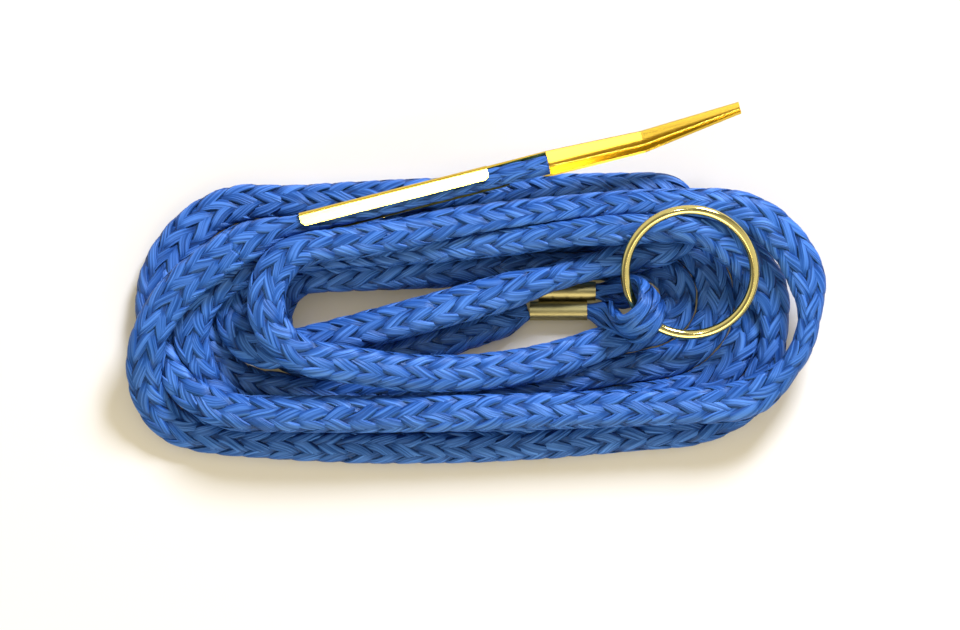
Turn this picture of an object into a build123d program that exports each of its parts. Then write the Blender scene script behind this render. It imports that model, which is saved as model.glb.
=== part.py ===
from build123d import *
import math
import os
from collections import namedtuple

# A rope fish stringer put up in a loose hank: a long needle crimped on one end of the cord, a ring in a
# crimped eye on the other. Millimetres, +Z up, the hank lies on Z = 0 with its long side along X.

# Cord
CORD_DIAMETER = 4.8
CROSSING_GAP = 0.6
FLAT_DEPTH = 0.5
RUN_SHARE = 0.45
GAP_STEP = 1.5
GAP_REACH = 3 * CORD_DIAMETER

# Needle, one folded sheet: a crimped channel behind and an open trough in front
NEEDLE_LENGTH = 95.0
SHEET = 0.5
CRIMP_LENGTH = 40.5
CRIMP_HEIGHT = 4.0
CRIMP_BACK = 1.8
FOLD_RADIUS = 0.8
TOP_FLANGE = 1.3
BOTTOM_FLANGE = 3.0
FLANGE_CHAMFER = 0.8
LUG_LENGTH = 4.5
LUG_ROUND = 1.6
CREASE_RADIUS = 0.8
CORD_IN_NEEDLE = 53.5
CORD_BULGE = 2.4
CORD_END_WIDTH = 3.4
CORD_END_HEIGHT = 1.8
CORD_END_MIDDLE = (-1.2, 0.75)
NEEDLE_HEADING = 14.0
NEEDLE_RISE = 2.2
BARE_CORD = 5.0
PIVOT_CLEARANCE = 0.3

# The trough's slices, each a distance from the mouth with its back rim, crease and front rim, across and up
Slice = namedtuple("Slice", "x back crease front")
TROUGH = (
    Slice(CRIMP_LENGTH, (1.8, 0.4), (0.9, -2.0), (-0.4, -1.6)),
    Slice(53.5, (1.9, 0.4), (-1.3, -2.0), (-3.6, 0.2)),
    Slice(73.5, (1.1, 0.4), (-1.7, -2.0), (-3.6, 0.2)),
    Slice(NEEDLE_LENGTH, (2.1, 0.0), (0.5, -1.2), (-0.5, 0.0)),
)

# Ring
RING_INSIDE = 25.0
RING_WIRE = 2.0
RING_TILT = 25.0
EYE_PLACE = (34.3, -8.2, 9.9)
EYE_ANGLE = 221.0

# Crimp ferrule, two lobes side by side, each pressed round one leg of the cord
FERRULE_CENTRE = (18.0, -4.2, 2.1)
LOBE_LENGTH = 12.0
LOBE_BORE = 3.0
LOBE_WALL = 0.5
LOBE_PITCH = 4.2
LOBE_STAGGER = 1.8
GROOVE_COUNT = 3
GROOVE_WIDTH = 0.5
GROOVE_DEPTH = 0.15
GROOVE_PITCH = 3.0
PRESSED_CORD = 3.1
CORD_TAPER = 4.0
TAPER_ROOT = 2.6
ROOT_DEPTH = 1.0
TAIL = 1.0

# Middle of the whole part on the axes that the points below are given in
LAYOUT_MIDDLE = (0.05, -0.87)

# The hank's turns, from the needle's end of the cord to the ring's end. Each has a bottom run, a right bend,
# a top run and the left bend that comes before them. A level of 1 is one cord up from the table.
# Levels are at the left end, along the bottom run, at the right end and along the top run.
Turn = namedtuple("Turn", "left_x left_reach bottom_y bottom_sag right_x top_y top_sag levels")
TURNS = (
    Turn(-70.0, 21.0, (-33.4, -31.6), -2.8, 63.4, (7.4, 3.2), 0.8,
         (1.0, 0, 0, 0, 0, 2.45, 1.05, 1.05)),
    Turn(-60.0, 18.0, (-28.4, -22.3), -4.0, 57.6, (14.6, 10.3), 0.8,
         (0.95, 0.05, 0, 0, 0, 0, 0, 0)),
    Turn(-57.8, 14.0, (-22.6, -17.2), -4.1, 49.8, (9.1, 4.9), 0.8, (0, 0, 0, 0, 0, 0, 0, 0)),
    Turn(-51.6, 10.0, (-16.2, 5.2), -0.6, 43.5, (18.4, 16.4), 0.8,
         (0.1, 1.2, 1.05, 1.0, 1.1, 0.95, 0.5, 0)),
    Turn(-66.8, 13.5, (-29.2, -27.0), -1.0, 69.7, (13.8, 5.5), 2.6,
         (0.3, 1.35, 1.1, 1.05, 1.25, 2.3, 1.3, 2.05)),
    Turn(-44.1, 11.0, (-18.1, -9.9), -7.0, 42.6, (3.6, -0.6), 0.8,
         (2.1, 2.15, 1.1, 0.1, 0, 0, 0, 0)),
)
LAST_LEFT_X = -42.6
LAST_REACH = 8.4
LAST_BOTTOM_Y = -17.4
BEND_STEPS = 4
RUN_MIDDLES = (1 / 3, 2 / 3)

# The cord's stretches outside the turns: the lead behind the needle, the bend into the first turn, the way
# out of the last turn, the standing end up to the ferrule, and the eye round the ring
LEAD_POINTS = (
    (-41.7, 9.6, 11.6),
    (-47.5, 7.6, 12.0),
    (-54.0, 3.9, 12.2),
    (-60.6, -1.5, 11.9),
    (-66.4, -8.2, 10.8),
)
HANK_START = (
    (-69.6, -15.6, 9.6),
    (-69.6, -22.6, 6.2),
    (-66.4, -28.8, 2.9),
    (-60.5, -32.4, 1.9),
)
HANK_END = (
    (-27.7, -18.0, 1.9),
)
STANDING_POINTS = (
    (-16.2, -16.1, 1.9),
    (-7.0, -13.4, 1.9),
    (0.4, -10.1, 2.0),
)
EYE_POINTS = (
    (31.8, -12.5, 11.6),
    (35.1, -11.2, 14.2),
    (37.8, -7.5, 13.7),
    (37.4, -4.0, 10.4),
    (33.4, -2.6, 7.0),
)


def between(first, last, share):
    """The value at a share of the way from one value to another."""
    return first + (last - first) * share


def height(level):
    """The height of the cord's middle at a level of the pile."""
    return CORD_DIAMETER / 2 - FLAT_DEPTH + (CORD_DIAMETER + CROSSING_GAP) * level


def along(levels, share):
    """The level at a share of the way through three stations."""
    first, middle, last = levels
    if share < 0.5:
        return between(first, middle, 2 * share)
    return between(middle, last, 2 * share - 1)


def bend_points(end_x, reach, y_from, y_to, levels):
    """Corners of a half-round bend that comes out to end_x. A negative reach bends to the left."""
    step_angle = math.pi / BEND_STEPS
    outside = 1 / math.cos(step_angle / 2)
    points = []
    for step in range(BEND_STEPS):
        angle = step_angle * (step + 0.5) - math.pi / 2
        x = end_x - reach + reach * outside * math.cos(angle)
        y = between(y_from, y_to, 0.5) + (y_to - y_from) / 2 * outside * math.sin(angle)
        points.append((x, y, height(along(levels, (step + 0.5) / BEND_STEPS))))
    return points


def run_points(x_from, x_to, reach_from, reach_to, ys, sag, levels):
    """Points of a long run that bows to one side, with one point close to the bend at each end."""
    side = math.tan(math.pi / BEND_STEPS / 2)
    length = abs(x_to - x_from)
    points = []
    for share in (side * reach_from / length, *RUN_MIDDLES, 1 - side * reach_to / length):
        y = between(*ys, share) + sag * 4 * share * (1 - share)
        points.append((between(x_from, x_to, share), y, height(along(levels, share))))
    return points


def hank_points():
    """Corners of all the turns, in order along the cord."""
    lefts = [(turn.left_x, turn.left_reach, turn.bottom_y[0], turn.levels[:2]) for turn in TURNS]
    lefts.append((LAST_LEFT_X, LAST_REACH, LAST_BOTTOM_Y, (0, 0)))
    points = []
    for turn, (next_x, next_reach, next_y, next_levels) in zip(TURNS, lefts[1:]):
        reach = (turn.top_y[0] - turn.bottom_y[1]) / 2
        start_x = turn.left_x + turn.left_reach
        bend_x = turn.right_x - reach
        back_x = next_x + next_reach
        low = turn.levels[1:4]
        rise = turn.levels[3:6]
        top = turn.levels[5:8]
        fall = (turn.levels[7], *next_levels)
        points += run_points(start_x, bend_x, turn.left_reach, reach, turn.bottom_y, turn.bottom_sag, low)
        points += bend_points(turn.right_x, reach, turn.bottom_y[1], turn.top_y[0], rise)
        points += run_points(bend_x, back_x, reach, next_reach, turn.top_y, turn.top_sag, top)
        points += bend_points(next_x, -next_reach, turn.top_y[1], next_y, fall)
    return points


def corner_radius(before, corner, after):
    """The largest radius that a corner's two runs allow."""
    first = corner - before
    second = after - corner
    turn = math.radians(first.get_angle(second))
    return RUN_SHARE * min(first.length, second.length) / math.tan(turn / 2)


def corner_radii(points):
    """One radius for each corner between the ends."""
    return [corner_radius(*three) for three in zip(points, points[1:], points[2:])]


def tube(points, radii, diameter):
    """A round tube along straight runs joined by arcs, and its path."""
    path = FilletPolyline(*points, radius=radii)
    section = Plane(origin=path @ 0, z_dir=path % 0) * Circle(diameter / 2)
    return sweep(section, path=path), path


def least_gap(path, diameter):
    """The least gap between passes of a tube along the path, measured on points."""
    count = int(path.length / GAP_STEP)
    spots = [path @ (step / count) for step in range(count + 1)]
    spots = [(spot.X, spot.Y, spot.Z) for spot in spots]
    apart = int(GAP_REACH / GAP_STEP)
    least = min(
        math.dist(spot, other)
        for index, spot in enumerate(spots)
        for other in spots[index + apart:]
    )
    return least - diameter


def report_tube(name, solid, path, radii):
    """Prints a tube's length, its volume against its section times its length, and its least radius."""
    expected = math.pi * CORD_DIAMETER**2 / 4 * path.length
    print(f"{name}: length {path.length:.1f}, volume share {solid.volume / expected:.4f}, "
          f"least radius {min(radii):.1f}")


def on_table(solid):
    """The solid with whatever lies below the table cut off flat."""
    return split(solid, bisect_by=Plane.XY, keep=Keep.TOP)


def flat_profile(edges):
    """A face from lines of two points and arcs of three."""
    return make_face([Line(*edge) if len(edge) == 2 else ThreePointArc(*edge) for edge in edges])


# Frame of the needle: its own X runs from its mouth to its tip, its own Z is up
heading = math.radians(NEEDLE_HEADING)
rise = math.radians(NEEDLE_RISE)
needle_way = Vector(math.cos(rise) * math.cos(heading), math.cos(rise) * math.sin(heading), math.sin(rise))
pivot = Vector(*LEAD_POINTS[0])
needle_side = Vector(-math.sin(heading), math.cos(heading), 0)
needle_up = needle_way.cross(needle_side)
needle_frame = Plane(origin=pivot + needle_way * BARE_CORD, x_dir=needle_way, z_dir=needle_up)


def across(x):
    """The plane square to the needle at a distance from its mouth."""
    return Plane(origin=(x, 0, 0), x_dir=(0, 1, 0), z_dir=(1, 0, 0))


def arc_points(middle, radius, first, last):
    """Three points of an arc round a middle, from one angle to another in degrees."""
    x, y = middle
    angles = [math.radians(between(first, last, share)) for share in (0, 0.5, 1)]
    return tuple((x + radius * math.cos(angle), y + radius * math.sin(angle)) for angle in angles)


def chain(*stretches):
    """The edges of a closed outline, from its arcs and corners in order."""
    edges = []
    for stretch, following in zip(stretches, (*stretches[1:], stretches[0])):
        if len(stretch) > 1:
            edges.append(stretch)
        edges.append((stretch[-1], following[0]))
    return edges


def crimp_section():
    """A slice of the crimp: the sheet folded twice round the flattened cord."""
    half = CRIMP_HEIGHT / 2
    inside = half - SHEET
    fold_y = CRIMP_BACK - FOLD_RADIUS
    top = (fold_y, half - FOLD_RADIUS)
    bottom = (fold_y, FOLD_RADIUS - half)
    return flat_profile(chain(
        ((-TOP_FLANGE, half),),
        arc_points(top, FOLD_RADIUS, 90, 0),
        arc_points(bottom, FOLD_RADIUS, 0, -90),
        ((-BOTTOM_FLANGE, -half),),
        ((-BOTTOM_FLANGE, -inside),),
        arc_points(bottom, FOLD_RADIUS - SHEET, -90, 0),
        arc_points(top, FOLD_RADIUS - SHEET, 0, 90),
        ((-TOP_FLANGE, inside),),
    ))


def trough_section(piece):
    """A slice of the trough: two walls that rise from a rounded crease."""
    crease = Vector(*piece.crease)
    walls = [(Vector(*rim) - crease).normalized() for rim in (piece.front, piece.back)]
    middle = (walls[0] + walls[1]).normalized()
    slope = math.radians(walls[0].get_angle(middle))
    centre = crease + middle * (CREASE_RADIUS / math.sin(slope))
    inward = [(middle - wall * middle.dot(wall)).normalized() for wall in walls]

    def crease_arc(radius):
        return [centre - way * radius for way in (inward[0], middle, inward[1])]

    front, back = Vector(*piece.front), Vector(*piece.back)
    outline = chain(
        (front,),
        crease_arc(CREASE_RADIUS),
        (back,),
        (back + inward[1] * SHEET,),
        crease_arc(CREASE_RADIUS - SHEET)[::-1],
        (front + inward[0] * SHEET,),
    )
    return across(piece.x) * flat_profile([[(spot.X, spot.Y) for spot in edge] for edge in outline])


def make_needle():
    """The folded needle, with its crimp, its lug and its tapered trough."""
    crimp = extrude(across(0) * crimp_section(), amount=CRIMP_LENGTH)
    corners = [
        edge for edge in crimp.edges().filter_by(Axis.Z)
        if edge.center().Z > 0 and edge.center().Y < 0
    ]
    crimp = chamfer(corners, FLANGE_CHAMFER)
    lug = Pos(CRIMP_LENGTH, 0, -CRIMP_HEIGHT / 2) * extrude(
        Pos(LUG_LENGTH / 2, -BOTTOM_FLANGE / 2) * Rectangle(LUG_LENGTH, BOTTOM_FLANGE), amount=SHEET
    )
    lug = fillet(lug.edges().filter_by(Axis.Z).group_by(Axis.X)[-1].sort_by(Axis.Y)[0], LUG_ROUND)
    trough = loft([trough_section(piece) for piece in TROUGH], ruled=True)
    return needle_frame * (crimp + lug + trough)


def flat_cord(x, middle, width, thickness):
    """A slice of flattened cord across the needle."""
    return across(x) * Pos(*middle) * SlotCenterToCenter(width - thickness, thickness)


def make_cord_tip():
    """The cord's end inside the needle, pressed flat in the crimp, with a short round stub behind it."""
    inside = CRIMP_HEIGHT - 2 * SHEET
    width = CRIMP_BACK - SHEET + CORD_BULGE
    middle = (CRIMP_BACK - SHEET - width / 2, 0)
    start = CORD_DIAMETER / 2 + PIVOT_CLEARANCE - BARE_CORD
    step = -SHEET
    stub = extrude(across(start) * Circle(CORD_DIAMETER / 2), amount=step - start)
    pressed = extrude(flat_cord(step, middle, width, inside), amount=CRIMP_LENGTH - step)
    end = loft([
        flat_cord(CRIMP_LENGTH, (middle[0], CORD_END_MIDDLE[1] / 2), CORD_END_WIDTH, CORD_END_HEIGHT),
        flat_cord(CORD_IN_NEEDLE, CORD_END_MIDDLE, CORD_END_WIDTH, CORD_END_HEIGHT),
    ], ruled=True)
    return needle_frame * (stub + pressed + end)


def make_ring():
    """A closed round ring that leans on the hank, with its wire through the eye."""
    radius = (RING_INSIDE + RING_WIRE) / 2
    to_middle = Rot(RING_TILT, 0, 0) * Rot(0, 0, EYE_ANGLE) * Pos(-radius, 0, 0)
    return Pos(*EYE_PLACE) * to_middle * Torus(radius, RING_WIRE / 2)


def lobe_frame(side):
    """The middle of one lobe: the standing leg's at side -1, the tail's at side 1."""
    x, y, z = FERRULE_CENTRE
    return Pos(x + side * LOBE_STAGGER / 2, y + side * LOBE_PITCH / 2, z) * Rot(0, 90, 0)


def make_ferrule():
    """The crimp, two tubes joined along their underside, with grooves pressed round the tail's lobe."""
    radius = LOBE_BORE / 2 + LOBE_WALL
    x, y, z = FERRULE_CENTRE
    web = Pos(x, y, z - radius + LOBE_WALL / 2) * Box(LOBE_LENGTH - LOBE_STAGGER, LOBE_PITCH, LOBE_WALL)
    body = web
    for side in (-1, 1):
        body += lobe_frame(side) * Cylinder(radius, LOBE_LENGTH)
    for side in (-1, 1):
        body -= lobe_frame(side) * Cylinder(LOBE_BORE / 2, LOBE_LENGTH)
    groove = Cylinder(radius, GROOVE_WIDTH) - Cylinder(radius - GROOVE_DEPTH, GROOVE_WIDTH)
    for index in range(GROOVE_COUNT):
        body -= lobe_frame(1) * Pos(0, 0, (index - (GROOVE_COUNT - 1) / 2) * GROOVE_PITCH) * groove
    return body


def halfway(start, end):
    """The plane halfway along a straight stretch and square to it."""
    return Plane(origin=(start + end) / 2, z_dir=end - start)


def pressed_leg(start, end):
    """A stretch of cord squeezed by the ferrule."""
    return halfway(start, end) * Cylinder(PRESSED_CORD / 2, (end - start).length)


def taper_end(mouth, towards):
    """Where the cord that leaves a mouth of the ferrule has spread to its full size."""
    return mouth + (towards - mouth).normalized() * CORD_TAPER


def spreading_leg(mouth, end):
    """A stretch of cord that widens to its full size, rooted a little inside the ferrule's mouth."""
    root = mouth - (end - mouth).normalized() * ROOT_DEPTH
    return halfway(root, end) * Cone(TAPER_ROOT / 2, CORD_DIAMETER / 2, (end - root).length)


def make_cord_eye(start_points, start_radii, standing_in):
    """The standing cord, the two legs pressed in the ferrule and the eye between them."""
    standing_out = standing_in + Vector(LOBE_LENGTH, 0, 0)
    tail_in = standing_in + Vector(LOBE_STAGGER - TAIL, LOBE_PITCH, 0)
    tail_out = tail_in + Vector(LOBE_LENGTH + TAIL, 0, 0)
    eye_points = [Vector(*point) for point in EYE_POINTS]
    lower = taper_end(standing_out, eye_points[0])
    upper = taper_end(tail_out, eye_points[-1])
    loop_points = [lower, *eye_points, upper]
    loop_radii = corner_radii(loop_points)
    loop, loop_path = tube(loop_points, loop_radii, CORD_DIAMETER)
    report_tube("eye", loop, loop_path, loop_radii)
    standing, standing_path = tube(start_points, start_radii, CORD_DIAMETER)
    report_tube("standing cord", standing, standing_path, start_radii)
    legs = pressed_leg(standing_in, standing_out) + pressed_leg(tail_in, tail_out)
    legs += spreading_leg(standing_in, start_points[-1])
    legs += spreading_leg(standing_out, lower)
    legs += spreading_leg(tail_out, upper)
    return on_table(standing + legs + loop)


def export(shape, name):
    """Writes one piece, with the whole part's middle at the origin."""
    placed = Pos(-LAYOUT_MIDDLE[0], -LAYOUT_MIDDLE[1], 0) * shape
    export_step(placed, f"parts/{name}.step")


os.makedirs("parts", exist_ok=True)

# The whole cord's corners, cut on two straight runs into its lead, its hank and its standing end
ferrule_mouth = Vector(*FERRULE_CENTRE) - Vector((LOBE_STAGGER + LOBE_LENGTH) / 2, LOBE_PITCH / 2, 0)
hank_corners = (*HANK_START, *hank_points(), *HANK_END)
route = [Vector(*point) for point in (*LEAD_POINTS, *hank_corners, *STANDING_POINTS)]
route.append(taper_end(ferrule_mouth, route[-1]))
radii = corner_radii(route)
hank_first = len(LEAD_POINTS)
standing_first = hank_first + len(hank_corners)
lead_cut = (route[hank_first - 1] + route[hank_first]) / 2
standing_cut = (route[standing_first - 1] + route[standing_first]) / 2

lead_radii = radii[:hank_first - 1]
lead, lead_path = tube([*route[:hank_first], lead_cut], lead_radii, CORD_DIAMETER)
lead_end = Pos(*pivot) * Sphere(CORD_DIAMETER / 2)
report_tube("lead", lead, lead_path, lead_radii)
hank_radii = radii[hank_first - 1:standing_first - 1]
hank, hank_path = tube([lead_cut, *route[hank_first:standing_first], standing_cut], hank_radii, CORD_DIAMETER)
report_tube("hank", hank, hank_path, hank_radii)
print(f"hank: least gap between turns {least_gap(hank_path, CORD_DIAMETER):.2f}")

export(lead + lead_end, "cord_lead")
export(on_table(hank), "cord_hank")
standing_points = [standing_cut, *route[standing_first:]]
export(make_cord_eye(standing_points, radii[standing_first - 1:], ferrule_mouth), "cord_eye")
export(make_cord_tip(), "cord_tip")
export(make_needle(), "needle")
export(make_ring(), "ring")
export(make_ferrule(), "ferrule")
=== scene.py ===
import math
from collections import namedtuple

import bpy
import numpy as np
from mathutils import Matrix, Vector


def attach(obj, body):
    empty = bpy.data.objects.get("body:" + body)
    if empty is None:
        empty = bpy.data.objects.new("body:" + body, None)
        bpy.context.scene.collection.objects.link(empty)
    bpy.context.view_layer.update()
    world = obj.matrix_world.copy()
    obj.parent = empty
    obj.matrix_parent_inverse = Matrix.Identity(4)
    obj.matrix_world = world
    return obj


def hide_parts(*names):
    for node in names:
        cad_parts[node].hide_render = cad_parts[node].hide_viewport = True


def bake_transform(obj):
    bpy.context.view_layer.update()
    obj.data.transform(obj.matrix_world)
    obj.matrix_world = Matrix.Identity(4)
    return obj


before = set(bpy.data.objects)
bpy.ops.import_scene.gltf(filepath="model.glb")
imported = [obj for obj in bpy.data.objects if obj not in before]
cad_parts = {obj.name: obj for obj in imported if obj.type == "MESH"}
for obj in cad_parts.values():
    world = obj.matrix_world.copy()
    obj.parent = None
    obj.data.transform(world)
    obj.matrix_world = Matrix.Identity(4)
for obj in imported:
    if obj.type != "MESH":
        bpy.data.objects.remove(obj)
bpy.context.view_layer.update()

# A rope fish stringer: a braided cord in a loose hank, a folded needle and a ring. Metres, +Z up.

# Route of the cord: the part's own, with some ends and bends moved to lie as in the photograph
CORD_DIAMETER = 0.0048
CROSSING_GAP = 0.0006
FLAT_DEPTH = 0.0005
LAYOUT_MIDDLE = (0.00005, -0.00087)
BEND_STEPS = 4
RUN_MIDDLES = (1 / 3, 2 / 3)
SPLINE_STEPS = 24
# A turn's levels: in its left bend, three along the bottom run, in its right bend, three along the top run
Turn = namedtuple("Turn", "left_x left_reach bottom_y bottom_sag right_x top_y top_sag levels")
TURNS = (
    Turn(-0.07, 0.021, (-0.0334, -0.0309), -0.0028, 0.0622, (0.0104, 0.0032), 0.0008,
         (1.0, 0, 0, 0, 0, 2.45, 1.05, 1.05)),
    Turn(-0.06, 0.018, (-0.0284, -0.0232), -0.004, 0.0584, (0.0146, 0.0103), 0.0008,
         (0.95, 0.05, 0, 0, 0, 0, 0, 0)),
    Turn(-0.0578, 0.014, (-0.0226, -0.0172), -0.0041, 0.0498, (0.0091, 0.0049), 0.0008,
         (0, 0, 0, 0, 0, 0, 0, 0)),
    Turn(-0.0516, 0.01, (-0.0162, 0.0063), -0.0006, 0.0435, (0.0184, 0.016), 0.0008,
         (0.1, 1.2, 1.05, 1.0, 1.1, 0.95, 0.5, 0)),
    Turn(-0.0675, 0.021, (-0.0292, -0.027), -0.001, 0.0697, (0.0138, 0.0055), 0.0026,
         (0.3, 1.35, 1.1, 1.05, 1.25, 2.3, 1.3, 2.05)),
    Turn(-0.0441, 0.011, (-0.0181, -0.0099), -0.007, 0.0426, (0.0036, 0.0008), 0.0004,
         (2.1, 2.15, 1.1, 0.1, 0, 0, 0.15, 0.75)),
)
LAST_LEFT_X = -0.0426
LAST_REACH = 0.0084
LAST_BOTTOM_Y = -0.0174
LEAD_POINTS = (
    (-0.0417, 0.0096, 0.0116),
    (-0.048, 0.0067, 0.012),
    (-0.0545, 0.0031, 0.0122),
    (-0.0606, -0.0015, 0.0119),
    (-0.0664, -0.0082, 0.0108),
)
HANK_START = (
    (-0.0696, -0.0156, 0.0096),
    (-0.0696, -0.0226, 0.0062),
    (-0.0664, -0.0288, 0.0029),
    (-0.0605, -0.0324, 0.0019),
)
HANK_END = (
    (-0.0277, -0.018, 0.0019),
)
STANDING_POINTS = (
    (-0.0162, -0.0152, 0.0019),
    (-0.007, -0.0125, 0.0019),
    (0.0004, -0.0096, 0.002),
)
# The eye round the ring, between two legs that lie close together near the ferrule
EYE_POINTS = (
    (0.0275, -0.0073, 0.0042),
    (0.0318, -0.0125, 0.0116),
    (0.0346, -0.0112, 0.0142),
    (0.0368, -0.0075, 0.0137),
    (0.0366, -0.004, 0.0104),
    (0.0334, -0.0026, 0.007),
    (0.029, -0.0028, 0.004),
)

# Needle, ring and ferrule, as in the part's source
NEEDLE_HEADING = 14.0
NEEDLE_RISE = 2.2
BARE_CORD = 0.005
CORD_IN_NEEDLE = 0.0535
FERRULE_CENTRE = (0.018, -0.0042, 0.0021)
LOBE_LENGTH = 0.012
LOBE_PITCH = 0.0042
LOBE_STAGGER = 0.0018
TAIL = 0.001
RING_TILT = 25.0
EYE_ANGLE = 221.0

# Middle of the cord inside the needle: along it, across it and up
TIP_POINTS = (
    (CORD_IN_NEEDLE, -0.0012, 0.001),
    (0.047, -0.001, 0.0006),
    (0.04, -0.00085, 0),
    (0.026, -0.00085, 0),
    (0.012, -0.00085, 0),
    (0.002, -0.0006, 0),
)

# Rows of the cord, one to a step: those searched near the needle, where the tip ends before its mouth, and
# where the bending and the neck end past the pivot
NEEDLE_ROWS = 200
TIP_ROWS = 4
NECK_ROWS = 10

# Surface that the strands lie on
RING_STEP = 0.001
ROUND_STEPS = 48
SQUARENESS = 0.85
HALF_WIDTH = 0.00375
HALF_HEIGHT = 0.002
# Places where the cord lies wider or narrower, with how far that reaches and the half sizes there
Spot = namedtuple("Spot", "place reach half_width half_height")
SPOTS = (
    Spot((-0.061, 0.011, 0.004), 0.024, 0.0048, 0.0015),
    Spot((-0.056, 0.002, 0.012), 0.022, 0.004, 0.0016),
    Spot((0.057, 0.0, 0.01), 0.018, 0.0046, 0.0015),
    Spot((0.066, 0.004, 0.012), 0.014, 0.0041, 0.0017),
    Spot((0.054, -0.018, 0.002), 0.014, 0.0045, 0.0015),
    Spot((0.046, -0.006, 0.002), 0.016, 0.004, 0.0018),
    Spot((0.069, -0.015, 0.008), 0.016, 0.0022, 0.0026),
    Spot((0.02, 0.001, 0.0075), 0.014, 0.0026, 0.0024),
)
SPOT_CORE = 0.3
CRIMPED_HALF_WIDTH = 0.0019
CRIMPED_HALF_HEIGHT = 0.0012
NECK_SPREAD = 0.012
FERRULE_HALF_WIDTH = 0.0015
FERRULE_SPREAD = 0.006
EYE_HALF_WIDTH = 0.0036
EYE_HALF_HEIGHT = 0.0013
EYE_TURN_SHARE = 0.35
EYE_SPREAD_SHARE = 0.16
TAIL_INWARD = 0.004
TAIL_OUTWARD = 0.0006
SAME_PASS = 0.015
PASS_REACH = 0.0085
PASS_ROOM = 0.0003
FLOOR_ROOM = 0.0004
FOLD_LIMIT = 0.1

# Strands, and how full they are where something holds the cord
Braid = namedtuple("Braid", "each_way in_float lay half_width rise depth weave uneven")
CORD_BRAID = Braid(8, 2, 0.042, 0.00133, 0.00012, 0.00025, 0.00015, 0.2)
EYE_BRAID = Braid(8, 2, 0.09, 0.0011, 0.00016, 0.00025, 0.00016, 0.25)
STRAND_STEP = 0.0006
WEAVE_SHARPNESS = 2.4
CRIMPED_LOOSENESS = 0.6
FERRULE_LOOSENESS = 0.55
EYE_END_LOOSENESS = 0.6
TAIL_LOOSENESS = 0.5
# Points over the top of a strand's section, from edge to edge
STRAND_TOP = (-1.0, -0.6, 0.0, 0.6, 1.0)
CROWN = 0.7
# Painted shade towards a strand's edges
EDGE_SHADE = 0.35
CORE_INSET = 0.0004
CORE_EVERY = 3
# Places in the strands' own map: how far apart the strands are, and its units to a metre along them
MAP_SPACING = 2
MAP_SCALE = 100
# Unevenness of the braid: the seeds, sizes and lengths of its waves
WAVE_SCALES = (1.0, 0.61, 0.37)
STRAND_SEEDS = 100
ROLL = 0.1
ROLL_SEED = 7
ROLL_WAVE = 0.21
WIDTH_WAVE = 0.023
LIFT_SEED = 50
LIFT_WAVE = 0.017
DRIFT = 0.001
DRIFT_SEED = 70
DRIFT_WAVE = 0.019

# Looks of the cord, the metal and the floor. A colour on a ramp has its place before it
# Tones of the cord, from dark to bright: painted shade and the fibres move each strand along them
CORD_TONES = (
    (0.05, (0.003, 0.016, 0.095)),
    (0.5, (0.013, 0.073, 0.31)),
    (0.95, (0.072, 0.222, 0.69)),
)
CORD_SHINE = (0.4, 0.62, 1.0)
FIBRE_STRETCH = (5.5, 0.5, 1.0)
# Shares of the fibres and of the painted shade in the cord's tone
FIBRE_SHARE = 0.58
PAINTED_SHADE_SHARE = 0.38
Metal = namedtuple("Metal", "node name colour roughness grain stretch turn")
METALS = (
    Metal("needle", "needle_gold", (0.82, 0.56, 0.075), 0.19, 0.4, 25.0, NEEDLE_HEADING),
    Metal("ring", "ring_gold", (0.7, 0.57, 0.19), 0.14, 0.15, 1.0, 0.0),
    Metal("ferrule", "ferrule_brass", (0.42, 0.36, 0.16), 0.42, 0.6, 4.0, 0.0),
)
LEAST_ROUGH = 0.7
MOST_ROUGH = 1.4
FLOOR_SIZE = 4.0
FLOOR_WHITE = (0.71, 0.7, 0.695)
# Painted glow of the floor, seen by the camera and in reflections: warm near the part, lifting and warming
# the shadows there, cooler further out
FLOOR_PAINTED_GLOW = (
    (0, (0.09, 0.074, 0.03)),
    (1, (0.105, 0.15, 0.3)),
)
GLOW_NEAR = 0.13
GLOW_FAR = 0.45

# Lamps, which face the origin, and the room. A lamp that doesn't light surfaces shows in reflections only
Lamp = namedtuple("Lamp", "name place size power colour lights_surfaces")
LAMPS = (
    Lamp("key", (0.45, 0.93, 0.78), 0.4, 23.0, (0.92, 0.975, 1.14), True),
    Lamp("overhead", (-0.08, 0.175, 1.1), 0.07, 2.2, (1.0, 1.0, 1.0), False),
    Lamp("front", (0.0, -0.9, 0.5), 0.6, 6.0, (1.0, 0.89, 0.66), True),
)
FILL_COLOUR = (1.0, 0.88, 0.64)
FILL_STRENGTH = 0.6
BRIGHT_SIDES = (-0.7, 0.7, 0)
ROOM_TONES = (
    (0.1, (0.22, 0.22, 0.22)),
    (0.65, (1.05, 1.05, 1.05)),
)

# Camera of the photograph: 0.21 mm to a pixel, looking down at 80 degrees
PIXEL = 0.00021
IMAGE_WIDTH = 960
VIEW_MIDDLE = (0.00058, -0.00595, 0.0)
VIEW_ELEVATION = 80.0
VIEW_DISTANCE = 2.5
SENSOR = 36.0


def between(first, last, share):
    """The value at a share of the way from one value to another."""
    return first + (last - first) * share


def smooth(low, high, value):
    """0 below low, 1 above high and a smooth step between."""
    share = np.clip((value - low) / (high - low), 0, 1)
    return share * share * (3 - 2 * share)


def off_ends(shares, reach):
    """0 at both ends, rising to 1 at this share of the way in."""
    return smooth(0, reach, shares) * smooth(0, reach, 1 - shares)


def height(level):
    """The height of the cord's middle at a level of the pile."""
    return CORD_DIAMETER / 2 - FLAT_DEPTH + (CORD_DIAMETER + CROSSING_GAP) * level


def along(levels, share):
    """The level at a share of the way through three stations."""
    first, middle, last = levels
    if share < 0.5:
        return between(first, middle, 2 * share)
    return between(middle, last, 2 * share - 1)


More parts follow.
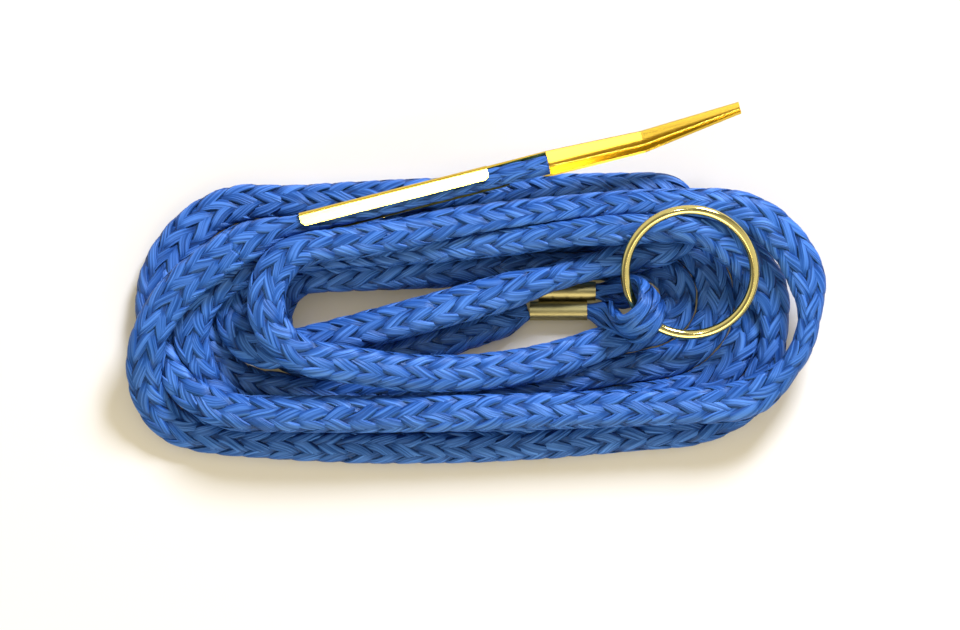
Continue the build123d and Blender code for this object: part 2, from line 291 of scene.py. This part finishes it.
def bend_points(end_x, reach, y_from, y_to, levels):
    """Corners of a half-round bend that comes out to end_x. A negative reach bends to the left."""
    step_angle = math.pi / BEND_STEPS
    outside = 1 / math.cos(step_angle / 2)
    points = []
    for step in range(BEND_STEPS):
        angle = step_angle * (step + 0.5) - math.pi / 2
        x = end_x - reach + reach * outside * math.cos(angle)
        y = between(y_from, y_to, 0.5) + (y_to - y_from) / 2 * outside * math.sin(angle)
        points.append((x, y, height(along(levels, (step + 0.5) / BEND_STEPS))))
    return points


def run_points(x_from, x_to, reach_from, reach_to, ys, sag, levels):
    """Points of a long run that bows to one side, with one point close to the bend at each end."""
    side = math.tan(math.pi / BEND_STEPS / 2)
    length = abs(x_to - x_from)
    points = []
    for share in (side * reach_from / length, *RUN_MIDDLES, 1 - side * reach_to / length):
        y = between(*ys, share) + sag * 4 * share * (1 - share)
        points.append((between(x_from, x_to, share), y, height(along(levels, share))))
    return points


def hank_points():
    """Corners of all the turns, in order along the cord."""
    lefts = [(turn.left_x, turn.left_reach, turn.bottom_y[0], turn.levels[:2]) for turn in TURNS]
    lefts.append((LAST_LEFT_X, LAST_REACH, LAST_BOTTOM_Y, (0, 0)))
    points = []
    for turn, (next_x, next_reach, next_y, next_levels) in zip(TURNS, lefts[1:]):
        reach = (turn.top_y[0] - turn.bottom_y[1]) / 2
        start_x = turn.left_x + turn.left_reach
        bend_x = turn.right_x - reach
        back_x = next_x + next_reach
        low = turn.levels[1:4]
        rise = turn.levels[3:6]
        top = turn.levels[5:8]
        fall = (turn.levels[7], *next_levels)
        points += run_points(start_x, bend_x, turn.left_reach, reach, turn.bottom_y, turn.bottom_sag, low)
        points += bend_points(turn.right_x, reach, turn.bottom_y[1], turn.top_y[0], rise)
        points += run_points(bend_x, back_x, reach, next_reach, turn.top_y, turn.top_sag, top)
        points += bend_points(next_x, -next_reach, turn.top_y[1], next_y, fall)
    return points


def placed(points):
    """Points of the layout, moved so that the part's middle is at the origin."""
    return np.array(points) - (*LAYOUT_MIDDLE, 0)


# The needle's own axes: along it to its tip, across it and up from it
heading = math.radians(NEEDLE_HEADING)
rise_angle = math.radians(NEEDLE_RISE)
needle_way = np.array((math.cos(rise_angle) * math.cos(heading), math.cos(rise_angle) * math.sin(heading),
                       math.sin(rise_angle)))
needle_side = np.array((-math.sin(heading), math.cos(heading), 0))
needle_up = np.cross(needle_way, needle_side)
pivot = placed(LEAD_POINTS[:1])[0]
needle_mouth = pivot + needle_way * BARE_CORD


def in_needle(u, v=0.0, w=0.0):
    """A point in the needle's own axes."""
    return needle_mouth + needle_way * u + needle_side * v + needle_up * w


def spline_line(points):
    """Points close together on the smooth line that has these control points."""
    curve = bpy.data.curves.new("line", "CURVE")
    curve.dimensions = "3D"
    curve.resolution_u = SPLINE_STEPS
    spline = curve.splines.new("NURBS")
    spline.points.add(len(points) - 1)
    for spot, point in zip(spline.points, points):
        spot.co = (*point, 1)
    spline.order_u = 3
    spline.use_endpoint_u = True
    holder = bpy.data.objects.new("line", curve)
    bpy.context.scene.collection.objects.link(holder)
    bpy.context.view_layer.update()
    mesh = bpy.data.meshes.new_from_object(holder)
    line = np.array([vertex.co for vertex in mesh.vertices])
    bpy.data.objects.remove(holder)
    bpy.data.curves.remove(curve)
    bpy.data.meshes.remove(mesh)
    return line


def even_steps(line):
    """The line again in even steps, and how far along it each point is."""
    lengths = np.r_[0, np.cumsum(np.linalg.norm(np.diff(line, axis=0), axis=1))]
    places = np.linspace(0, lengths[-1], round(lengths[-1] / RING_STEP) + 1)
    return np.column_stack([np.interp(places, lengths, line[:, axis]) for axis in range(3)]), places


def unit(vectors):
    """The vectors at length 1."""
    return vectors / np.linalg.norm(vectors, axis=-1, keepdims=True)


def averaged(values, reach):
    """A running mean along the first axis, with the ends held."""
    width = 2 * reach + 1
    padded = np.concatenate([np.repeat(values[:1], reach, 0), values, np.repeat(values[-1:], reach, 0)])
    sums = np.cumsum(np.concatenate([np.zeros_like(padded[:1]), padded]), axis=0)
    return (sums[width:] - sums[:-width]) / width


def wobble(places, seed, length):
    """A smooth uneven wave of about this length, between -1 and 1."""
    shifts = np.random.default_rng(seed).uniform(0, 2 * math.pi, len(WAVE_SCALES))
    waves = [
        np.sin(2 * math.pi * places / (length * scale) + shift)
        for scale, shift in zip(WAVE_SCALES, shifts)
    ]
    return sum(waves) / len(WAVE_SCALES)


Surface = namedtuple("Surface", "points normals around")


def section_rings(half_widths, half_heights):
    """Rounded flat sections with points spaced evenly round them, and the length round each."""
    fine = np.linspace(0, 2 * math.pi, 4 * ROUND_STEPS + 1)
    shape_x = np.sign(np.cos(fine)) * np.abs(np.cos(fine)) ** SQUARENESS
    shape_y = np.sign(np.sin(fine)) * np.abs(np.sin(fine)) ** SQUARENESS
    shares = np.arange(ROUND_STEPS) / ROUND_STEPS
    rings = np.empty((len(half_widths), ROUND_STEPS, 2))
    around = np.empty(len(half_widths))
    for index, (half_width, half_height) in enumerate(zip(half_widths, half_heights)):
        x = half_width * shape_x
        y = half_height * shape_y
        lengths = np.r_[0, np.cumsum(np.hypot(np.diff(x), np.diff(y)))]
        around[index] = lengths[-1]
        rings[index, :, 0] = np.interp(shares * lengths[-1], lengths, x)
        rings[index, :, 1] = np.interp(shares * lengths[-1], lengths, y)
    return rings, around


def press_passes(points, centres, places):
    """Presses the cord's surface back to halfway from its other passes."""
    for index, centre in enumerate(centres):
        offsets = centres - centre
        distances = np.linalg.norm(offsets, axis=1)
        near = np.flatnonzero((distances < PASS_REACH) & (np.abs(places - places[index]) > SAME_PASS))
        if not len(near):
            continue
        for group in np.split(near, np.flatnonzero(np.diff(near) > 1) + 1):
            other = group[distances[group].argmin()]
            way = offsets[other] / distances[other]
            excess = (points[index] - centre) @ way - (distances[other] / 2 - PASS_ROOM)
            points[index] -= np.maximum(excess, 0)[:, None] * way


def rope_surface(centres, half_widths, half_heights, across, places=None):
    """The smooth surface that the strands lie on, pressed by its other passes where the places are given."""
    tangents = unit(np.gradient(centres, axis=0))
    across = unit(across - (across * tangents).sum(1, keepdims=True) * tangents)
    rise = np.cross(tangents, across)
    rings, around = section_rings(half_widths, half_heights)
    points = centres[:, None] + rings[..., :1] * across[:, None] + rings[..., 1:] * rise[:, None]
    if places is not None:
        press_passes(points, centres, places)
        points[..., 2] = np.maximum(points[..., 2], FLOOR_ROOM)
        points = averaged(points, 1)
    round_way = np.roll(points, -1, axis=1) - np.roll(points, 1, axis=1)
    normals = unit(np.cross(round_way, np.gradient(points, axis=0)))
    outward = unit(points - points.mean(axis=1, keepdims=True))
    folded = (normals * outward).sum(-1, keepdims=True) < FOLD_LIMIT
    return Surface(points, np.where(folded, outward, normals), around)


def on_surface(grid, rows, turns):
    """Values of a surface's grid at rows along it and turns round it, both with fractions."""
    rows = np.clip(rows, 0, len(grid) - 1.001)
    columns = (turns % 1) * ROUND_STEPS
    row = rows.astype(int)
    column = columns.astype(int)
    part = (rows - row)[..., None]
    side = (columns - column)[..., None]
    column = column % ROUND_STEPS
    following = (column + 1) % ROUND_STEPS
    near = between(grid[row, column], grid[row, following], side)
    far = between(grid[row + 1, column], grid[row + 1, following], side)
    return between(near, far, part)


def strand_rings(surface, braid, hand, index, rows, loose):
    """One strand of a braid: its section's points at each row, their values across it, and a painted shade
    for its colour, lighter where it lies on top and darker where it dives and at its edges.
    """
    places = rows * RING_STEP
    seed = STRAND_SEEDS * index + (1 if hand > 0 else 2)
    around = np.interp(rows, np.arange(len(surface.around)), surface.around)
    slant = np.arctan2(around, braid.lay)
    turns = index / braid.each_way + hand * places / braid.lay
    wave = np.sin(2 * math.pi * braid.each_way / braid.in_float * turns)
    weave = hand * np.tanh(WEAVE_SHARPNESS * wave) / math.tanh(WEAVE_SHARPNESS)
    roll = ROLL * wobble(places, ROLL_SEED, ROLL_WAVE)
    half = braid.half_width * (1 + braid.uneven * wobble(places, seed, WIDTH_WAVE)) * loose
    lift = braid.weave * loose * (weave + 2 * braid.uneven * wobble(places, seed + LIFT_SEED, LIFT_WAVE))
    drift = 2 * braid.uneven * DRIFT * wobble(places, seed + DRIFT_SEED, DRIFT_WAVE)
    rings = []
    across_values = []
    painted_shade_values = []
    for across in (*STRAND_TOP, 0.0):
        bottom = len(rings) == len(STRAND_TOP)
        sideways = across * half + drift
        row = rows - hand * np.sin(slant) * sideways / RING_STEP
        turn = turns + roll + np.cos(slant) * sideways / around
        crown = -braid.depth if bottom else braid.rise * (CROWN - across * across)
        out = lift + crown * loose
        points = on_surface(surface.points, row, turn)
        normals = on_surface(surface.normals, row, turn)
        rings.append(points + normals * out[:, None])
        across_values.append(np.full(len(rows), (across + 1) / 2))
        # Painted shade for the strand's colour: lighter on top of the weave, darker where it dives under the
        # others and towards its edges, darkest underneath
        light = np.zeros(len(rows)) if bottom else (0.5 + 0.5 * weave) * (1 - EDGE_SHADE * across * across)
        painted_shade_values.append(light)
    return np.stack(rings, 1), np.stack(across_values, 1), np.stack(painted_shade_values, 1)


def tube_faces(count, ring, offset):
    """Faces of a closed tube of count rings."""
    faces = []
    for step in range(count - 1):
        low = offset + step * ring
        for side in range(ring):
            after = (side + 1) % ring
            faces.append((low + side, low + after, low + ring + after, low + ring + side))
    faces.append(tuple(offset + side for side in reversed(range(ring))))
    faces.append(tuple(offset + (count - 1) * ring + side for side in range(ring)))
    return faces


def make_piece(name, points, faces, material, strand_uv, depth):
    """A mesh object with the strands' own map and their painted shade as depth."""
    mesh = bpy.data.meshes.new(name)
    mesh.from_pydata(points, [], faces)
    mesh.polygons.foreach_set("use_smooth", [len(face) == 4 for face in faces])
    corners = np.empty(len(mesh.loops), int)
    mesh.loops.foreach_get("vertex_index", corners)
    mesh.uv_layers.new(name="strand").data.foreach_set("uv", strand_uv[corners].ravel())
    # The painted shade is stored as the depth attribute
    mesh.attributes.new("depth", "FLOAT", "POINT").data.foreach_set("value", depth)
    mesh.materials.append(material)
    mesh.validate()
    piece = bpy.data.objects.new(name, mesh)
    bpy.context.scene.collection.objects.link(piece)
    return piece


def braid_piece(name, surface, braid, first, last, loose, material):
    """The braid between two rows of a surface, as one mesh with a core inside it, painted dark as shade."""
    rows = np.linspace(first, last, round((last - first) * RING_STEP / STRAND_STEP) + 1)
    held_rows = np.arange(first, last + 1)
    slack = np.interp(rows, np.arange(len(loose)), loose)
    points = []
    faces = []
    maps = []
    painted_shades = []
    offset = 0
    for hand in (1, -1):
        for index in range(braid.each_way):
            rings, across, out = strand_rings(surface, braid, hand, index, rows, slack)
            count, ring = rings.shape[:2]
            number = index + (braid.each_way if hand < 0 else 0)
            length = np.repeat(rows * RING_STEP, ring).reshape(count, ring)
            strand_map = np.stack([across + MAP_SPACING * number, length * MAP_SCALE], -1)
            points.append(rings.reshape(-1, 3))
            maps.append(strand_map.reshape(-1, 2))
            painted_shades.append(out.ravel())
            faces += tube_faces(count, ring, offset)
            offset += count * ring
    # The core takes the darkest painted shade, so the gaps between the strands show dark
    inset = surface.normals[held_rows, ::CORE_EVERY] * CORE_INSET
    core = surface.points[held_rows, ::CORE_EVERY] - inset
    count, ring = core.shape[:2]
    points.append(core.reshape(-1, 3))
    maps.append(np.zeros((count * ring, 2)))
    painted_shades.append(np.zeros(count * ring))
    faces += tube_faces(count, ring, offset)
    return make_piece(name, np.concatenate(points), faces, material,
                      np.concatenate(maps), np.concatenate(painted_shades))


# Materials

def new_material(name):
    """A node material, its nodes, links and main shader."""
    material = bpy.data.materials.new(name)
    material.use_nodes = True
    nodes = material.node_tree.nodes
    return material, nodes, material.node_tree.links, nodes["Principled BSDF"]


def set_inputs(node, values):
    """Sets inputs of a node, by their names or numbers."""
    for socket, value in values.items():
        node.inputs[socket].default_value = value


def add_node(nodes, kind, values):
    """A new node of this kind with some of its inputs set."""
    node = nodes.new(kind)
    set_inputs(node, values)
    return node


def add_math(nodes, operation, values):
    """A new node for sums with some of its inputs set."""
    node = add_node(nodes, "ShaderNodeMath", values)
    node.operation = operation
    return node


def add_ramp(nodes, stops):
    """A ramp through these colours at these places."""
    ramp = nodes.new("ShaderNodeValToRGB")
    elements = ramp.color_ramp.elements
    first, *middle, last = stops
    for element, (place, colour) in zip(elements, (first, last)):
        element.position = place
        element.color = (*colour, 1)
    for place, colour in middle:
        elements.new(place).color = (*colour, 1)
    return ramp


def rope_material():
    """Blue filament yarn: fine lines along each strand, with painted shade, lighter where a strand lies on
    top and darker where it dives under others.
    """
    material, nodes, links, shader = new_material("blue_braid")
    strand_map = nodes.new("ShaderNodeUVMap")
    strand_map.uv_map = "strand"
    stretch = add_node(nodes, "ShaderNodeMapping", {"Scale": FIBRE_STRETCH})
    fibres = add_node(nodes, "ShaderNodeTexNoise",
                      {"Scale": 1.0, "Detail": 2.0, "Roughness": 0.6, "Distortion": 0.3})
    contrast = add_node(nodes, "ShaderNodeMapRange", {"From Min": 0.34, "From Max": 0.66})
    # Painted shade from the depth attribute lightens or darkens the colour
    depth = nodes.new("ShaderNodeAttribute")
    depth.attribute_name = "depth"
    spread = add_math(nodes, "MULTIPLY", {1: FIBRE_SHARE})
    tone = add_math(nodes, "MULTIPLY_ADD", {1: PAINTED_SHADE_SHARE})
    ramp = add_ramp(nodes, CORD_TONES)
    bump = add_node(nodes, "ShaderNodeBump", {"Strength": 0.8, "Distance": 0.00015})
    tangent = nodes.new("ShaderNodeTangent")
    tangent.direction_type = "UV_MAP"
    tangent.uv_map = "strand"
    links.new(strand_map.outputs["UV"], stretch.inputs["Vector"])
    links.new(stretch.outputs["Vector"], fibres.inputs["Vector"])
    links.new(fibres.outputs["Fac"], contrast.inputs["Value"])
    links.new(contrast.outputs["Result"], spread.inputs[0])
    links.new(depth.outputs["Fac"], tone.inputs[0])
    links.new(spread.outputs["Value"], tone.inputs[2])
    links.new(tone.outputs["Value"], ramp.inputs["Fac"])
    links.new(ramp.outputs["Color"], shader.inputs["Base Color"])
    links.new(contrast.outputs["Result"], bump.inputs["Height"])
    links.new(bump.outputs["Normal"], shader.inputs["Normal"])
    links.new(tangent.outputs["Tangent"], shader.inputs["Tangent"])
    set_inputs(shader, {"Anisotropic": 0.85, "Roughness": 0.4, "Specular IOR Level": 0.5,
                        "Specular Tint": (*CORD_SHINE, 1)})
    return material


def metal_material(metal):
    """Yellow metal with faint clouding, drawn out along the piece where it is stretched."""
    material, nodes, links, shader = new_material(metal.name)
    place = nodes.new("ShaderNodeTexCoord")
    drawn = nodes.new("ShaderNodeMapping")
    drawn.vector_type = "TEXTURE"
    set_inputs(drawn, {"Rotation": (0, 0, math.radians(metal.turn)), "Scale": (metal.stretch, 1, 1)})
    clouds = add_node(nodes, "ShaderNodeTexNoise", {"Scale": 700.0, "Detail": 5.0})
    scratches = add_node(nodes, "ShaderNodeBump", {"Strength": 0.15, "Distance": 0.0001})
    dull_colour = [value * (1 - metal.grain) for value in metal.colour]
    ramp = add_ramp(nodes, ((0, dull_colour), (1, metal.colour)))
    rough = add_node(nodes, "ShaderNodeMapRange",
                     {"To Min": metal.roughness * LEAST_ROUGH, "To Max": metal.roughness * MOST_ROUGH})
    links.new(place.outputs["Object"], drawn.inputs["Vector"])
    links.new(drawn.outputs["Vector"], clouds.inputs["Vector"])
    links.new(clouds.outputs["Fac"], scratches.inputs["Height"])
    links.new(scratches.outputs["Normal"], shader.inputs["Normal"])
    links.new(clouds.outputs["Fac"], ramp.inputs["Fac"])
    links.new(ramp.outputs["Color"], shader.inputs["Base Color"])
    links.new(clouds.outputs["Fac"], rough.inputs["Value"])
    links.new(rough.outputs["Result"], shader.inputs["Roughness"])
    set_inputs(shader, {"Metallic": 1.0})
    return material


def floor_material():
    """White ground that keeps the shadows, with a faint painted glow: warm near the part, where it lifts and
    warms the shadows, and cooler further out.
    """
    material, nodes, links, shader = new_material("ground")
    set_inputs(shader, {"Base Color": (*FLOOR_WHITE, 1), "Roughness": 0.9})
    place = nodes.new("ShaderNodeTexCoord")
    distance = nodes.new("ShaderNodeVectorMath")
    distance.operation = "LENGTH"
    outer = add_node(nodes, "ShaderNodeMapRange", {"From Min": GLOW_NEAR, "From Max": GLOW_FAR})
    painted_glow = add_ramp(nodes, FLOOR_PAINTED_GLOW)
    ray = nodes.new("ShaderNodeLightPath")
    mirrored = add_math(nodes, "ADD", {})
    seen = add_math(nodes, "ADD", {})
    links.new(place.outputs["Object"], distance.inputs[0])
    links.new(distance.outputs["Value"], outer.inputs["Value"])
    links.new(outer.outputs["Result"], painted_glow.inputs["Fac"])
    links.new(painted_glow.outputs["Color"], shader.inputs["Emission Color"])
    links.new(ray.outputs["Is Camera Ray"], mirrored.inputs[0])
    links.new(ray.outputs["Is Glossy Ray"], mirrored.inputs[1])
    links.new(mirrored.outputs["Value"], seen.inputs[0])
    links.new(ray.outputs["Is Transmission Ray"], seen.inputs[1])
    links.new(seen.outputs["Value"], shader.inputs["Emission Strength"])
    return material


# Cord pieces

standing_in = np.array(FERRULE_CENTRE) - ((LOBE_STAGGER + LOBE_LENGTH) / 2, LOBE_PITCH / 2, 0)
standing_out = standing_in + (LOBE_LENGTH, 0, 0)
tail_out = standing_out + (LOBE_STAGGER, LOBE_PITCH, 0)
tail_in = tail_out - (LOBE_LENGTH + TAIL, 0, 0)
route = placed([*LEAD_POINTS, *HANK_START, *hank_points(), *HANK_END, *STANDING_POINTS, standing_in])
line = spline_line([*[in_needle(*point) for point in TIP_POINTS], *route])
centres, places = even_steps(line)


def nearest_row(point):
    """The row of the cord nearest to a point near the needle."""
    return int(np.linalg.norm(centres[:NEEDLE_ROWS] - point, axis=1).argmin())


mouth_row = nearest_row(in_needle(0))
pivot_row = nearest_row(pivot)
tip_end = mouth_row - TIP_ROWS
neck_end = pivot_row + NECK_ROWS
tangents = unit(np.gradient(centres, axis=0))
free = smooth(0, NECK_SPREAD, places - places[mouth_row])
held = 1 - smooth(0, FERRULE_SPREAD, places[-1] - places)
half_widths = np.full(len(centres), HALF_WIDTH)
half_heights = np.full(len(centres), HALF_HEIGHT)
for spot in SPOTS:
    distances = np.linalg.norm(centres - placed([spot.place]), axis=1)
    share = 1 - smooth(SPOT_CORE * spot.reach, spot.reach, distances)
    half_widths = between(half_widths, spot.half_width, share)
    half_heights = between(half_heights, spot.half_height, share)
half_widths = between(between(CRIMPED_HALF_WIDTH, half_widths, free), FERRULE_HALF_WIDTH, held)
half_heights = between(between(CRIMPED_HALF_HEIGHT, half_heights, free), FERRULE_HALF_WIDTH, held)
looseness = between(between(CRIMPED_LOOSENESS, 1.0, free), FERRULE_LOOSENESS, held)
surface = rope_surface(centres, half_widths, half_heights, np.cross((0, 0, 1), tangents), places)
blue = rope_material()
rope = braid_piece("rope", surface, CORD_BRAID, neck_end, len(centres) - 1, looseness, blue)
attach(rope, "hank")
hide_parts("cord_hank", "cord_lead")
neck = braid_piece("rope_neck", surface, CORD_BRAID, tip_end, neck_end, looseness, blue)
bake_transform(neck)
tip = braid_piece("rope_tip", surface, CORD_BRAID, 0, tip_end, looseness, blue)
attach(tip, "needle")
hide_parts("cord_tip")

# The eye round the ring, with its flat side on the wire
tilt = math.radians(RING_TILT)
eye_turn = math.radians(EYE_ANGLE)
wire_way = np.array((-math.sin(eye_turn), math.cos(eye_turn) * math.cos(tilt),
                     math.cos(eye_turn) * math.sin(tilt)))
eye_line = spline_line(placed([standing_out, *EYE_POINTS, tail_out]))
eye_centres, eye_places = even_steps(eye_line)
eye_shares = eye_places / eye_places[-1]
in_loop = off_ends(eye_shares, EYE_TURN_SHARE)
eye_across = unit(between(np.array((0, -1.0, 0)), wire_way, in_loop[:, None]))
eye_widths = between(FERRULE_HALF_WIDTH, EYE_HALF_WIDTH, off_ends(eye_shares, EYE_SPREAD_SHARE))
eye_heights = between(FERRULE_HALF_WIDTH, EYE_HALF_HEIGHT, in_loop)
eye_surface = rope_surface(eye_centres, eye_widths, eye_heights, eye_across)
eye_loose = between(EYE_END_LOOSENESS, 1.0, in_loop)
eye = braid_piece("rope_eye", eye_surface, EYE_BRAID, 0, len(eye_centres) - 1, eye_loose, blue)
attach(eye, "hank")
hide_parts("cord_eye")

# The cut tail behind the ferrule
tail_ends = placed([tail_in + (TAIL_INWARD, 0, 0), tail_in - (TAIL_OUTWARD, 0, 0)])
tail_centres = even_steps(tail_ends)[0]
tail_sizes = np.full(len(tail_centres), FERRULE_HALF_WIDTH)
tail_across = np.cross((0, 0, 1), unit(np.gradient(tail_centres, axis=0)))
tail_surface = rope_surface(tail_centres, tail_sizes, tail_sizes, tail_across)
tail_loose = np.full(len(tail_centres), TAIL_LOOSENESS)
tail = braid_piece("rope_tail", tail_surface, EYE_BRAID, 0, len(tail_centres) - 1, tail_loose, blue)
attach(tail, "hank")

# Metal pieces
for metal in METALS:
    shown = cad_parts[metal.node]
    shown.data.materials.clear()
    shown.data.materials.append(metal_material(metal))

# Ground, lights and camera
bpy.ops.mesh.primitive_plane_add(size=FLOOR_SIZE)
ground = bpy.context.active_object
ground.name = "ground"
ground.data.materials.append(floor_material())

for lamp in LAMPS:
    light = bpy.data.lights.new(lamp.name, "AREA")
    light.size = lamp.size
    light.energy = lamp.power
    light.color = lamp.colour
    holder = bpy.data.objects.new(lamp.name, light)
    holder.location = lamp.place
    holder.rotation_euler = (Vector((0, 0, 0)) - Vector(lamp.place)).to_track_quat("-Z", "Y").to_euler()
    holder.visible_diffuse = lamp.lights_surfaces
    bpy.context.scene.collection.objects.link(holder)


def studio_world():
    """Warm soft fill light, and a brighter room with two bright sides for the metal to mirror."""
    world = bpy.data.worlds.new("studio")
    world.use_nodes = True
    nodes = world.node_tree.nodes
    links = world.node_tree.links
    fill = nodes["Background"]
    set_inputs(fill, {"Color": (*FILL_COLOUR, 1), "Strength": FILL_STRENGTH})
    way = nodes.new("ShaderNodeTexCoord")
    side = nodes.new("ShaderNodeVectorMath")
    side.operation = "DOT_PRODUCT"
    set_inputs(side, {1: BRIGHT_SIDES})
    size = add_math(nodes, "ABSOLUTE", {})
    ramp = add_ramp(nodes, ROOM_TONES)
    room = nodes.new("ShaderNodeBackground")
    ray = nodes.new("ShaderNodeLightPath")
    either = nodes.new("ShaderNodeMixShader")
    links.new(way.outputs["Generated"], side.inputs[0])
    links.new(side.outputs["Value"], size.inputs[0])
    links.new(size.outputs["Value"], ramp.inputs["Fac"])
    links.new(ramp.outputs["Color"], room.inputs["Color"])
    links.new(ray.outputs["Is Glossy Ray"], either.inputs["Fac"])
    links.new(fill.outputs["Background"], either.inputs[1])
    links.new(room.outputs["Background"], either.inputs[2])
    links.new(either.outputs["Shader"], nodes["World Output"].inputs["Surface"])
    return world


bpy.context.scene.world = studio_world()
bpy.context.scene.view_settings.view_transform = "Standard"

lens = bpy.data.cameras.new("camera")
lens.sensor_width = SENSOR
lens.lens = SENSOR * VIEW_DISTANCE / (PIXEL * IMAGE_WIDTH)
camera = bpy.data.objects.new("camera", lens)
elevation = math.radians(VIEW_ELEVATION)
camera_way = Vector((0, -math.cos(elevation), math.sin(elevation)))
camera.location = Vector(VIEW_MIDDLE) + VIEW_DISTANCE * camera_way
camera.rotation_euler = (math.pi / 2 - elevation, 0, 0)
bpy.context.scene.collection.objects.link(camera)
bpy.context.scene.camera = camera
